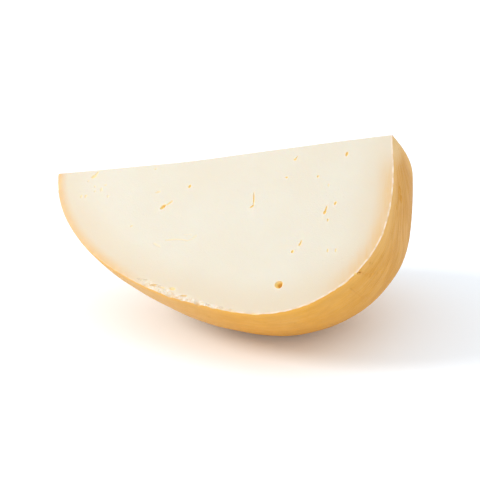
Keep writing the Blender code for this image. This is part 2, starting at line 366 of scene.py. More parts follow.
class ProvolonePaste(bpy.types.PropertyGroup):
    """The cut paste's colours and finish."""

    ivory: colour_property("Ivory", "The paste's own colour", (0.660, 0.613, 0.514))
    warm_ivory: colour_property("Warm ivory", "The paste's warmer clouds", (0.652, 0.590, 0.479))
    warm_fade: colour_property("Warm fade", "The broad warm fade towards the rind", (0.640, 0.535, 0.395))
    golden_fade: colour_property("Golden fade", "The paste close under the rind", (0.660, 0.440, 0.215))
    # The rim's pale line is a painted highlight along the worn edge of the cut.
    rim: colour_property("Rim", "The pale line beside the rind", (0.760, 0.630, 0.500))
    # The eyes' colours are painted light: a golden glow of light through the paste on shallow walls, and
    # painted shade on deep floors.
    golden_hollow_light: colour_property("Shallow eye", "The walls of shallow eyes", (0.89, 0.63, 0.18))
    deep_hollow_shade: colour_property("Deep eye", "The floor of deep eyes", (0.64, 0.30, 0.03))
    # Torn paste also whitens the lips round the eyes, a painted highlight.
    torn: colour_property("Torn paste", "Lips and the crumbly torn strip", (0.70, 0.633, 0.535))
    roughness: factor_property("Roughness", "Roughness of the cut paste", 0.55)


class ProvoloneRind(bpy.types.PropertyGroup):
    """The rind's relief, colours and finish."""

    lump_height: length_property("Lump height", "Height of the rind's broad lumps", 0.0006)
    wrinkle_height: length_property("Wrinkle height", "Height of the rind's fine wrinkles", 0.0003)
    gold: colour_property("Gold", "The rind's own colour", (0.790, 0.376, 0.038))
    # Tan is also laid towards the narrow end as a painted reflection of the floor.
    tan: colour_property("Tan", "The rind's paler, drier clouds", (0.72, 0.450, 0.190))
    pale_tan: colour_property("Pale tan", "The rind round the blunt end's middle", (0.84, 0.570, 0.27))
    brown: colour_property("Brown", "The rind's darker streaks", (0.56, 0.240, 0.028))
    # Amber is a painted highlight: the bright band where the rind's edges by the cuts catch the light.
    amber_highlight: colour_property("Amber", "The bright band beside the cuts", (0.84, 0.440, 0.075))
    # Crease is real brown in the pits, and painted shade in the creases and on the flat spot the wedge lies
    # on.
    crease: colour_property("Crease", "The floor of creases and pits", (0.44, 0.17, 0.015))
    roughness: factor_property("Roughness", "Roughness of the rind", 0.55)


class ProvoloneStudio(bpy.types.PropertyGroup):
    """The floor, the light and the camera."""

    floor: colour_property("Floor", "The floor's colour", (0.88, 0.92, 0.97))
    floor_width: length_property("Floor width", "Width of the square floor", 12.0)
    floor_glow: strength_property("Floor glow", "Strength of the lit floor's own light", 0.08)
    surround: strength_property("Surround", "Strength of the light from all sides", 1.03)
    surround_colour: colour_property("Surround colour", "The light from all sides", (0.945, 0.978, 1.0))
    key_power: strength_property("Key power", "Power of the large soft light, in watts", 13.0)
    key_colour: colour_property("Key colour", "The large soft light's colour", (1.0, 0.955, 0.90))
    key_width: length_property("Key width", "Width of the large soft light", 0.6)
    key_place: FloatVectorProperty(
        name="Key place",
        description="Where the large soft light stands",
        default=(-1.2, -0.6, 0.9),
        subtype="XYZ",
    )
    azimuth: angle_property("Azimuth", "How far the camera stands round to the right of the front", 13.9)
    elevation: angle_property("Elevation", "How far the camera looks down", 19.57)
    distance: length_property("Distance", "From the camera to its aim", 1.1822)
    field_of_view: angle_property("Field of view", "The camera's angle of view", 12)


def bezier(start, start_handle, end_handle, end, t):
    s = 1 - t
    return start * s**3 + start_handle * 3 * s * s * t + end_handle * 3 * s * t * t + end * t**3


class Cheese:
    """The turned outline and the two cuts, from which every place on the wedge is measured."""

    def __init__(self, size, rind):
        self.half_length = size.half_length
        self.belly = Vector((size.belly_at, size.belly_radius))
        self.half_angle = size.wedge_angle / 2
        self.edge_sag = size.edge_sag
        self.lump_height = rind.lump_height
        self.wrinkle_height = rind.wrinkle_height
        self.outline = self.profile()
        self.rind_creases = [
            (*sizes, [self.rind_point(*point) for point in points])
            for *sizes, points in RIND_CREASES.values()
        ]
        self.face_creases = [
            (*sizes, [Vector((*point, 0)) for point in points])
            for *sizes, points in FACE_CREASES.values()
        ]

    def profile(self):
        """The outline from the blunt end to the narrow one, as (along the axis, radius)."""
        blunt_end = Vector((self.half_length, 0))
        narrow_end = Vector((-self.half_length, 0))
        out_of_blunt_end = blunt_end + Vector((0, BLUNT_END_HANDLE))
        into_belly = self.belly + Vector((BLUNT_BELLY_HANDLE, 0))
        out_of_belly = self.belly - Vector((NARROW_BELLY_HANDLE, 0))
        into_narrow_end = narrow_end + Vector((0, NARROW_END_HANDLE))
        halves = (
            (blunt_end, out_of_blunt_end, into_belly, self.belly),
            (self.belly, out_of_belly, into_narrow_end, narrow_end),
        )
        shares = [step / PROFILE_STEPS_PER_HALF for step in range(PROFILE_STEPS_PER_HALF)]
        return np.array([bezier(*half, share) for half in halves for share in shares] + [narrow_end])

    def radius_at(self, along):
        """The whole cheese's radius at places on its axis."""
        return np.interp(along, self.outline[::-1, 0], self.outline[::-1, 1])

    def rind_point(self, radius, degrees):
        """A place on the rind's blunt end, where the outline only widens from the axis to the belly."""
        blunt_half = self.outline[: PROFILE_STEPS_PER_HALF + 1]
        along = float(np.interp(radius, blunt_half[:, 1], blunt_half[:, 0]))
        angle = math.radians(degrees)
        return Vector((along, -radius * math.sin(angle), -radius * math.cos(angle)))

    def under_rind(self, places):
        """How far each place lies inside the rind with its broad relief, and negative outside it."""
        flat = np.stack((places[:, 0], np.hypot(places[:, 1], places[:, 2])), axis=-1)
        nearest = np.full(len(flat), np.inf)
        inside = np.ones(len(flat), bool)
        for start, end in zip(self.outline, self.outline[1:]):
            run = end - start
            offset = flat - start
            share = np.clip((offset @ run) / (run @ run), 0, 1)
            gap = np.hypot(*(offset - share[:, None] * run).T)
            nearer = gap < nearest
            nearest[nearer] = gap[nearer]
            inside[nearer] = (run[0] * offset[:, 1] - run[1] * offset[:, 0] > 0)[nearer]
        relief = np.array([self.rind_relief(Vector(place)) for place in places])
        return np.where(inside, nearest, -nearest) + relief

    def rind_relief(self, point):
        """The rind's broad relief: swells, lumps, and wrinkles that run round the cheese."""
        relief = noise.noise(point / RIND_LUMP_SPREAD) * self.lump_height
        stretched = Vector((point.x, point.y / RIND_WRINKLE_STRETCH, point.z / RIND_WRINKLE_STRETCH))
        relief += noise.noise(stretched / RIND_WRINKLE_SPREAD) * self.wrinkle_height
        place = (point.x, math.hypot(point.y, point.z), math.degrees(math.atan2(-point.y, -point.z)))
        for *swell, height in RIND_SWELLS.values():
            gaps = [(here - there) / spread for here, there, spread in zip(place, swell[:3], swell[3:])]
            relief += height * math.exp(-sum(gap * gap for gap in gaps))
        return relief

    def edge_dip(self, along):
        """How far the top edge lies under the axis."""
        return self.edge_sag * math.exp(-(((along - EDGE_SAG_AT) / EDGE_SAG_SPREAD) ** 2)) - EDGE_RISE

    def face_relief(self, along, down, side):
        """How far a cut face lies inside its plane, before its fine relief."""
        waves = noise.noise(Vector((along, down, side)) / FACE_WAVE_SPREAD) * FACE_WAVE_HEIGHT
        fade = math.exp(-((down / EDGE_SAG_REACH) ** 2))
        return waves + self.edge_dip(along) * math.sin(self.half_angle) * fade

    def face_places(self, along, down, side):
        """Places on a cut face's plane, in the cheese frame."""
        sine, cosine = math.sin(self.half_angle), math.cos(self.half_angle)
        return np.stack((along, -side * sine * down, -cosine * down), axis=-1)

    def on_face(self, places, side):
        """Places in the cheese frame as (down the cut face, depth behind its plane)."""
        sine, cosine = math.sin(self.half_angle), math.cos(self.half_angle)
        across, height = places[:, 1], places[:, 2]
        down = -side * sine * across - cosine * height
        behind = side * cosine * across - sine * height
        return down, behind

    def behind_cuts(self, places):
        """How far each place lies behind the nearer cut's plane."""
        return np.minimum(self.on_face(places, 1)[1], self.on_face(places, -1)[1])

    def under_cut(self, places):
        """How far each place lies under the nearer cut face."""
        depths = []
        for side in (1, -1):
            down, behind = self.on_face(places, side)
            relief = [self.face_relief(along, d, side) for along, d in zip(places[:, 0], down)]
            depths.append(behind - np.array(relief))
        return np.minimum(*depths)


def rounding(depth):
    """How far a worn rim falls back at this depth from the other surface."""
    return RIM_ROUND_DEPTH * max(0.0, 1 - max(depth, 0.0) / RIM_ROUND_WIDTH) ** 2


def smooth(low, high, value):
    share = np.clip((value - low) / (high - low), 0, 1)
    return share * share * (3 - 2 * share)


def torn_width(along):
    return np.interp(along, (TORN_FROM, TORN_TO), TORN_WIDTH)


def torn_share(along, under_rind):
    """Where the front face is torn, from 0 to 1, with a ragged upper limit."""
    ragged = np.array([noise.noise(Vector((a, 0, TEAR_LAYER)) / TORN_RAGGED_SPREAD) for a in along])
    inside = 1 - smooth(*TORN_LIMIT, under_rind / (torn_width(along) + ragged * TORN_RAGGEDNESS))
    begun = smooth(TORN_FROM, TORN_FROM + TORN_FADES[0], along)
    ended = smooth(TORN_TO - TORN_FADES[1], TORN_TO, along)
    return inside * begun * (1 - ended)


def new_collection(name):
    collection = bpy.data.collections.new(name)
    bpy.context.scene.collection.children.link(collection)
    return collection


def object_from(bm, name, collection, parent, material):
    """A new object with the edited mesh, triangulated, since its relief leaves no flat quads."""
    bmesh.ops.recalc_face_normals(bm, faces=bm.faces)
    bmesh.ops.triangulate(bm, faces=bm.faces)
    mesh = bpy.data.meshes.new(name)
    bm.to_mesh(mesh)
    bm.free()
    mesh.materials.append(material)
    obj = bpy.data.objects.new(name, mesh)
    collection.objects.link(obj)
    obj.parent = parent
    return obj


def refine(bm, wanted_cell, passes):
    """Halves the sides of each face that is coarser than the cell wanted at its middle."""
    for _ in range(passes):
        middles = np.array([face.calc_center_median() for face in bm.faces])
        sides = np.array([face.calc_perimeter() / 4 for face in bm.faces])
        coarse = sides > COARSE_SIDE * wanted_cell(middles)
        edges = {edge for face, split in zip(bm.faces, coarse) if split for edge in face.edges}
        if not edges:
            return
        bmesh.ops.subdivide_edges(bm, edges=list(edges), cuts=1, use_grid_fill=True)


def along_path(point, path):
    """The least distance from a point to the path, and how far along the path that is, from 0 to 1."""
    best = (math.inf, 0.0)
    runs = len(path) - 1
    for number, (start, end) in enumerate(zip(path, path[1:])):
        run = end - start
        share = min(max((point - start).dot(run) / run.length_squared, 0.0), 1.0)
        best = min(best, ((point - start - run * share).length, (number + share) / runs))
    return best


def crease_relief(point, creases):
    """Grooves along the creases, each between two low lips."""
    relief = 0.0
    for half_width, first_depth, last_depth, path in creases:
        if (point - path[0]).length > LONGEST_CREASE:
            continue
        distance, share = along_path(point, path)
        gap = distance / half_width
        if gap < CREASE_REACH:
            depth = first_depth + (last_depth - first_depth) * share
            relief -= depth * math.exp(-(gap**2))
            relief += depth * CREASE_LIP_SHARE * math.exp(-((gap - CREASE_LIP_AT) ** 2))
    return relief


def near_creases(places, creases):
    """Which places lie on a crease or its lips."""
    near = np.zeros(len(places), bool)
    for half_width, _, _, path in creases:
        near |= [along_path(Vector(place), path)[0] < CREASE_REACH * half_width for place in places]
    return near


def make_whole_cheese(cheese, collection, parent, rind):
    """The profile turned about Z by a Screw, laid along X, with its relief."""
    outline = bpy.data.meshes.new("outline")
    edges = [(i, i + 1) for i in range(len(cheese.outline) - 1)]
    outline.from_pydata([(radius, 0, along) for along, radius in cheese.outline], edges, [])
    lathe = bpy.data.objects.new("lathe", outline)
    collection.objects.link(lathe)
    turn = lathe.modifiers.new("turn", "SCREW")
    turn.axis = "Z"
    turn.angle = math.tau
    turn.steps = TURN_STEPS
    turn.render_steps = TURN_STEPS
    turn.use_merge_vertices = True
    turn.merge_threshold = 0.00001
    turned = bpy.data.meshes.new_from_object(lathe.evaluated_get(bpy.context.evaluated_depsgraph_get()))
    bpy.data.objects.remove(lathe, do_unlink=True)

    bm = bmesh.new()
    bm.from_mesh(turned)
    bmesh.ops.rotate(bm, verts=bm.verts, matrix=Matrix.Rotation(math.pi / 2, 3, "Y"))

    def wanted_cell(places):
        cells = np.where(np.abs(cheese.behind_cuts(places)) < 2 * RIM_ROUND_WIDTH, RIM_CELL, ANY_CELL)
        cells[near_creases(places, cheese.rind_creases)] = CREASE_CELL
        return cells

    refine(bm, wanted_cell, passes=2)
    bmesh.ops.recalc_face_normals(bm, faces=bm.faces)
    bm.normal_update()
    places = np.array([vert.co for vert in bm.verts])
    raised = []
    for vert, depth in zip(bm.verts, cheese.behind_cuts(places)):
        point = vert.co
        radius = math.hypot(point.y, point.z)
        round_axis = math.atan2(point.y, -point.z) * RIND_RIPPLES_ROUND
        ripple = Vector((round_axis, point.x / RIND_RIPPLE_LENGTH, radius / RIND_RIPPLE_LENGTH))
        fine = noise.noise(ripple) * RIND_RIPPLE_HEIGHT + crease_relief(point, cheese.rind_creases)
        raised.append(point + vert.normal * (cheese.rind_relief(point) + fine - rounding(depth)))
    for vert, place in zip(bm.verts, raised):
        vert.co = place
    return object_from(bm, "whole_cheese", collection, parent, rind)


def make_face(name, cheese, collection, parent, side):
    """An empty on a cut face: X along the axis, +Z out of the cheese. Side is 1 in front and -1 behind."""
    face = bpy.data.objects.new(name, None)
    face.rotation_euler.x = side * (math.pi / 2 - cheese.half_angle)
    face.parent = parent
    collection.objects.link(face)
    return face


def eye_marks(along, down, eyes):
    """At places on a cut face, from 0 to 1: the lips round the eyes, which also carry a painted highlight,
    and the painted golden glow inside the eyes.
    """
    lips = np.zeros(len(along))
    stain = np.zeros(len(along))
    for eye_along, eye_down, length, width, depth, slant, _ in eyes:
        across, below = along - eye_along, down - eye_down
        turn = math.radians(slant)
        lengthwise = across * math.cos(turn) - below * math.sin(turn)
        crosswise = across * math.sin(turn) + below * math.cos(turn)
        rings = np.hypot(2 * lengthwise / length, 2 * crosswise / width)
        outside = (rings - 1) * width / 2
        far = np.maximum(np.hypot(across, below), TINY)
        towards = 0.5 + 0.5 * (across + below) / far / math.sqrt(2)
        share = LIP_LEAST_SHARE + (1 - LIP_LEAST_SHARE) * towards
        lip = min(1.0, depth / FULL_LIP_DEPTH) * share * np.exp(-((outside / LIP_WIDTH) ** 2))
        lips = np.maximum(lips, np.where(rings > 1, lip, lip * smooth(*LIP_STARTS, rings)))
        full = min(1.0, depth / FULL_EYE_GLOW_DEPTH) ** EYE_GLOW_POWER
        stain = np.maximum(stain, full * (1 - smooth(*EYE_GLOW_ENDS, rings)))
    return lips, stain


def make_knife(name, cheese, collection, face, side, eyes, paste):
    """A block whose underside is the cut face with its fine relief, and which covers all that is cut away."""
    reach = max(cheese.half_length, cheese.belly.y) + KNIFE_MARGIN
    bm = bmesh.new()
    cells = round(2 * reach / FACE_CELL)
    bmesh.ops.create_grid(bm, x_segments=cells, y_segments=cells, size=reach)

    def under_rind(places):
        return cheese.under_rind(cheese.face_places(places[:, 0], -side * places[:, 1], side))

    def wanted_cell(places):
        along, down = places[:, 0], -side * places[:, 1]
        depth = under_rind(places)
        cells = np.full(len(places), ANY_CELL)
        inside = (depth > -FACE_MARGIN) & (down > -FACE_MARGIN)
        cells[inside & (depth < 2 * RIM_ROUND_WIDTH)] = RIM_CELL
        cells[inside & (down < 2 * RIM_ROUND_WIDTH)] = RIM_CELL
        for eye in eyes:
            cells[np.hypot(along - eye[0], down - eye[1]) < eye[2] / 2 + 2 * LIP_WIDTH] = MARK_CELL
        if side == 1:
            torn = (along > TORN_FROM) & (along < TORN_TO) & (depth < TORN_WIDTH[0] + TORN_RAGGEDNESS)
            cells[inside & torn] = MARK_CELL
            on_face = np.stack((along, down, np.zeros(len(places))), axis=-1)
            cells[near_creases(on_face, cheese.face_creases)] = MARK_CELL
        return cells

    refine(bm, wanted_cell, passes=3)
    places = np.array([vert.co for vert in bm.verts])
    depths = under_rind(places)
    torn = torn_share(places[:, 0], depths) if side == 1 else np.zeros(len(places))
    lips, _ = eye_marks(places[:, 0], -side * places[:, 1], eyes)
    underside = list(bm.verts)
    heights = []
    for place, depth, tear, lip in zip(places, depths, torn, lips):
        along, down = place[0], -side * place[1]
        drag = noise.noise(Vector((along / FACE_DRAG_SPREAD[0], down / FACE_DRAG_SPREAD[1], side)))
        relief = cheese.face_relief(along, down, side) + drag * FACE_DRAG_HEIGHT
        ragged = 1 + RIM_RAGGEDNESS * noise.noise(Vector((along, down, RIM_LAYER)) / RIM_RAGGED_SPREAD)
        relief += rounding(depth) * ragged + rounding(down) - lip * LIP_HEIGHT
        if side == 1:
            relief -= crease_relief(Vector((along, down, 0)), cheese.face_creases)
        if tear > 0:
            crumb = noise.noise(Vector((along, down, CRUMB_LAYER)) / CRUMB_SPREAD)
            lump = noise.noise(Vector((along, down, LUMP_LAYER)) / LUMP_SPREAD)
            relief += tear * CRUMB_HEIGHT * (FINE_CRUMB_SHARE * crumb + lump + LEAST_CRUMB)
        if depth < BITE_WIDTH:
            bite = max(0.0, noise.noise(Vector((along, down, BITE_LAYER)) / BITE_SPREAD) - BITE_THRESHOLD)
            relief += max(tear, NICK_SHARE) * bite * BITE_DEPTH * (1 - max(depth, 0.0) / BITE_WIDTH)
        heights.append(-relief)
    top = bmesh.ops.extrude_face_region(bm, geom=list(bm.faces), use_keep_orig=True)
    for vert in (item for item in top["geom"] if isinstance(item, bmesh.types.BMVert)):
        vert.co.z = 2 * reach
    for vert, height in zip(underside, heights):
        vert.co.z = height
    return object_from(bm, name, collection, face, paste)


def make_hollow(name, collection, parent, length, width, depth, bend, material):
    """An uneven bowl that leaves a hollow of this length and width, and goes this deep."""
    subdivisions = HOLLOW_SUBDIVISIONS + (length > LARGE_HOLLOW)
    bm = bmesh.new()
    bmesh.ops.create_icosphere(bm, subdivisions=subdivisions, radius=1)
    seed = Vector((length, width, depth)) * EYE_SEED_SPREAD
    widening = 1 / math.sqrt(1 - BOWL_RISE**2)
    for vert in bm.verts:
        unevenness = noise.noise(vert.co * EYE_LUMP + seed) * EYE_UNEVENNESS
        vert.co *= 1 + unevenness
        vert.co.x *= length / 2 * widening
        vert.co.y = vert.co.y * width / 2 * widening + bend * vert.co.x**2 / length
        vert.co.z = (vert.co.z + BOWL_RISE) * depth / (1 - BOWL_RISE)
        vert.co.x -= BOWL_LEAN * vert.co.z
    return object_from(bm, name, collection, parent, material)


def set_in_face(hollow, cheese, side, along, down, slant):
    hollow.location = (along, -side * down, -cheese.face_relief(along, down, side))
    hollow.rotation_euler.z = math.radians(side * slant)


def make_eyes(cheese, collection, face, side, eyes, paste):
    for name, (along, down, length, width, depth, slant, bend) in eyes.items():
        eye = make_hollow(name, collection, face, length, width, depth, bend, paste)
        set_in_face(eye, cheese, side, along, down, slant)


def draw_back_eyes(cheese):
    """The hidden face's eyes, in the form of the front face's."""
    draw = random.Random(BACK_EYE_SEED)
    eyes = {}
    for number in range(BACK_EYES):
        along = cheese.half_length * draw.uniform(*BACK_EYE_ALONG)
        down = float(cheese.radius_at(along)) * draw.uniform(*BACK_EYE_DOWN)
        size = (draw.uniform(*BACK_EYE_LENGTH), draw.uniform(*BACK_EYE_WIDTH), draw.uniform(*BACK_EYE_DEPTH))
        eyes[f"back_eye_{number}"] = (along, down, *size, draw.uniform(*BACK_EYE_SLANT), BACK_EYE_BEND)
    return eyes


def make_edge_chips(cheese, collection, face, paste):
    draw = random.Random(CHIP_SEED)
    for number in range(EDGE_CHIPS):
        share = (number + draw.random()) / EDGE_CHIPS
        along = TORN_FROM + share * (TORN_TO - TORN_FROM)
        down = float(cheese.radius_at(along) - draw.uniform(*CHIP_PLACE) * torn_width(along))
        size = (draw.uniform(*CHIP_LENGTH), draw.uniform(*CHIP_WIDTH), draw.uniform(*CHIP_DEPTH))
        chip = make_hollow(f"edge_chip_{number}", collection, face, *size, CHIP_BEND, paste)
        set_in_face(chip, cheese, 1, along, down, draw.uniform(*CHIP_SLANT))


def make_floor_level(cheese, collection, rind):
    """The level on which the cheese flattens its rind: a block with its top at height 0."""
    side = 2 * cheese.half_length
    bm = bmesh.new()
    bmesh.ops.create_cube(bm, size=side)
    level = object_from(bm, "floor_level", collection, None, rind)
    level.location.z = -side / 2
    return level


def cut(obj, name, cutter):
    step = obj.modifiers.new(name, "BOOLEAN")
    step.operation = "DIFFERENCE"
    step.solver = "MANIFOLD"
    step.material_mode = "TRANSFER"
    if isinstance(cutter, bpy.types.Collection):
        step.operand_type = "COLLECTION"
        step.collection = cutter
    else:
        step.object = cutter


def evaluated(obj):
    bpy.context.view_layer.update()
    return obj.evaluated_get(bpy.context.evaluated_depsgraph_get())


def lay_in_frame(axis, wedge, flat_spot_depth):
    """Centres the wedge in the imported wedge's box, sunk by the depth of its flat spot."""
    laid = evaluated(wedge)
    mesh = laid.to_mesh()
    places = np.array([laid.matrix_world @ vert.co for vert in mesh.vertices])
    laid.to_mesh_clear()
    middle = (places.min(axis=0) + places.max(axis=0)) / 2
    low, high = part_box(WEDGE_NODE)
    axis.location = (low + high) / 2 - Vector(middle)
    axis.location.z = -places[:, 2].min() - flat_spot_depth


def keep_depths(mesh, cheese, front_eyes, back_eyes):
    """Stores on each point how deep it lies under the rind and the cuts, and the marks that it lies in."""
    places = np.empty(len(mesh.vertices) * 3)
    mesh.vertices.foreach_get("co", places)
    places = places.reshape(-1, 3)
    under_rind = cheese.under_rind(places)
    under_cut = cheese.under_cut(places)
    in_front = places[:, 1] < 0
    torn = torn_share(places[:, 0], under_rind) * in_front
    front_marks = eye_marks(places[:, 0], cheese.on_face(places, 1)[0], front_eyes)
    back_marks = eye_marks(places[:, 0], cheese.on_face(places, -1)[0], back_eyes)
    lips, stain = np.where(in_front, front_marks, back_marks)
    on_face = zip(places[:, 0], cheese.on_face(places, 1)[0])
    drag = np.array([-crease_relief(Vector((*place, 0)), cheese.face_creases) for place in on_face])
    drag = np.clip(drag / DRAG_MARK_DEPTH, 0, 1) * in_front
    names = ("under_rind", "under_cut", "torn", "lips", "stain", "drag")
    for name, values in zip(names, (under_rind, under_cut, torn, lips, stain, drag)):
        attribute = mesh.attributes.new(name, "FLOAT", "POINT")
        attribute.data.foreach_set("value", values.astype(np.float32))


class Bench:
    """Makes the nodes of one material or group, links them, and lays colours over the first one."""

    def __init__(self, tree, colour=None):
        self.tree = tree
        self.colour = colour
        tree.nodes.clear()

    def node(self, kind, inputs=(), **settings):
        node = self.tree.nodes.new(kind)
        row, column = divmod(len(self.tree.nodes), NODES_IN_ROW)
        node.location = (NODE_WIDTH * column, -NODE_HEIGHT * row)
        for name, value in settings.items():
            setattr(node, name, value)
        for socket, value in dict(inputs).items():
            self.feed(node.inputs[socket], value)
        return node

    def feed(self, socket, value):
        if isinstance(value, bpy.types.NodeSocket):
            self.tree.links.new(value, socket)
        elif isinstance(value, (int, float)) or len(value) == len(socket.default_value):
            socket.default_value = value
        else:
            socket.default_value = (*value, 1.0)

    def math(self, operation, first, second=0.0):
        return self.node("ShaderNodeMath", {0: first, 1: second}, operation=operation).outputs[0]

    def times(self, first, second):
        return self.math("MULTIPLY", first, second)

    def span(self, value, low, high, to_low=0.0, to_high=1.0):
        """A smooth step from to_low to to_high while the value goes from low to high."""
        inputs = {"Value": value, "From Min": low, "From Max": high, "To Min": to_low, "To Max": to_high}
        return self.node("ShaderNodeMapRange", inputs, interpolation_type="SMOOTHSTEP").outputs[0]

    def noise(self, vector, scale, detail=3.0, roughness=0.5):
        inputs = {"Vector": vector, "Scale": scale, "Detail": detail, "Roughness": roughness}
        return self.node("ShaderNodeTexNoise", inputs).outputs["Fac"]

    def stretch(self, vector, scale):
        inputs = {0: vector, 1: scale}
        return self.node("ShaderNodeVectorMath", inputs, operation="MULTIPLY").outputs[0]

    def mix(self, factor, first, second):
        node = self.node("ShaderNodeMix", data_type="RGBA", clamp_factor=True)
        for socket, value in (("Factor_Float", factor), ("A_Color", first), ("B_Color", second)):
            self.feed(next(item for item in node.inputs if item.identifier == socket), value)
        return next(item for item in node.outputs if item.identifier == "Result_Color")

    def lay(self, colour, *shares):
        """Lays a colour over the ones so far, as strongly as the product of the shares."""
        self.colour = self.mix(functools.reduce(self.times, shares), self.colour, colour)

    def attribute(self, name):
        return self.node("ShaderNodeAttribute", attribute_name=name).outputs["Fac"]

    def place(self, axis):
        """The place in the cheese frame, whose origin and turn are the axis's."""
        place = self.node("ShaderNodeTexCoord").outputs["Object"]
        inputs = {"Vector": place, "Location": axis.location, "Rotation": axis.rotation_euler}
        return self.node("ShaderNodeMapping", inputs, vector_type="TEXTURE").outputs[0]

    def radius(self, place):
        """How far a place lies from the cheese's axis."""
        across = self.stretch(place, (0, 1, 1))
        return self.node("ShaderNodeVectorMath", {0: across}, operation="LENGTH").outputs["Value"]

    def group(self, tree, place, **values):
        """The outputs of a node group at this place."""
        return self.node("ShaderNodeGroup", {"Place": place, **values}, node_tree=tree).outputs

    def mask(self, tree, place, **values):
        return self.group(tree, place, **values)["Mask"]

    def finish(self, **inputs):
        """The material's surface, with an underscore for each space in an input's name."""
        named = {name.replace("_", " "): value for name, value in inputs.items()}
        surface = self.node("ShaderNodeBsdfPrincipled", named)
        output = self.node("ShaderNodeOutputMaterial")
        self.tree.links.new(surface.outputs["BSDF"], output.inputs["Surface"])


def new_group(name, inputs, outputs):
    """A shader node group of numbers and places, and its bench, input node and output node."""
    tree = bpy.data.node_groups.new(name, "ShaderNodeTree")
    for socket, default in inputs.items():
        kind = "NodeSocketFloat" if isinstance(default, float) else "NodeSocketVector"
        tree.interface.new_socket(socket, in_out="INPUT", socket_type=kind).default_value = default
    for socket in outputs:
        tree.interface.new_socket(socket, in_out="OUTPUT", socket_type="NodeSocketFloat")
    bench = Bench(tree)
    return tree, bench, bench.node("NodeGroupInput").outputs, bench.node("NodeGroupOutput").inputs


def make_clouds():
    """Soft clouds of a colour: a mask from 0 to 1, with their spread in metres."""
    inputs = {"Place": ORIGIN, "Spread": 0.02, "Softness": 0.3}
    tree, bench, given, result = new_group("cheese_clouds", inputs, ["Mask"])
    scale = bench.math("DIVIDE", 1.0, given["Spread"])
    cloud = bench.noise(given["Place"], scale, detail=4.0)
    low = bench.math("SUBTRACT", 0.5, given["Softness"])
    high = bench.math("ADD", 0.5, given["Softness"])
    bench.feed(result["Mask"], bench.span(cloud, low, high))
    return tree


def make_grain():
    """A fine grain with sparse pits, as a height from 0 to 1."""
    inputs = {"Place": ORIGIN, "Grain": 0.0008, "Pits": 0.3}
    tree, bench, given, result = new_group("cheese_grain", inputs, ["Height", "Pit Mask"])
    scale = bench.math("DIVIDE", 1.0, given["Grain"])
    fine = bench.noise(given["Place"], scale, detail=3.0, roughness=0.6)
    pit_scale = bench.times(scale, 0.22)
    cells = bench.node("ShaderNodeTexVoronoi", {"Vector": given["Place"], "Scale": pit_scale})
    pits = bench.span(cells.outputs["Distance"], 0.10, 0.22, 1.0, 0.0)
    chosen = bench.span(bench.noise(given["Place"], bench.times(scale, 0.05)), 0.52, 0.60)
    mask = bench.times(pits, chosen)
    depth = bench.times(mask, given["Pits"])
    bench.feed(result["Height"], bench.math("SUBTRACT", fine, depth))
    bench.feed(result["Pit Mask"], mask)
    return tree


def make_streaks():
    """Fine streaks drawn out one way: a mask from 0 to 1."""
    inputs = {"Place": ORIGIN, "Stretch": (1.0, 1.0, 1.0)}
    tree, bench, given, result = new_group("drawn_streaks", inputs, ["Mask"])
    drawn = bench.stretch(given["Place"], given["Stretch"])
    bench.feed(result["Mask"], bench.span(bench.noise(drawn, 1.0, detail=4.0, roughness=0.6), 0.35, 0.65))
    return tree


def new_material(name):
    material = bpy.data.materials.new(name)
    material.use_nodes = True
    return material


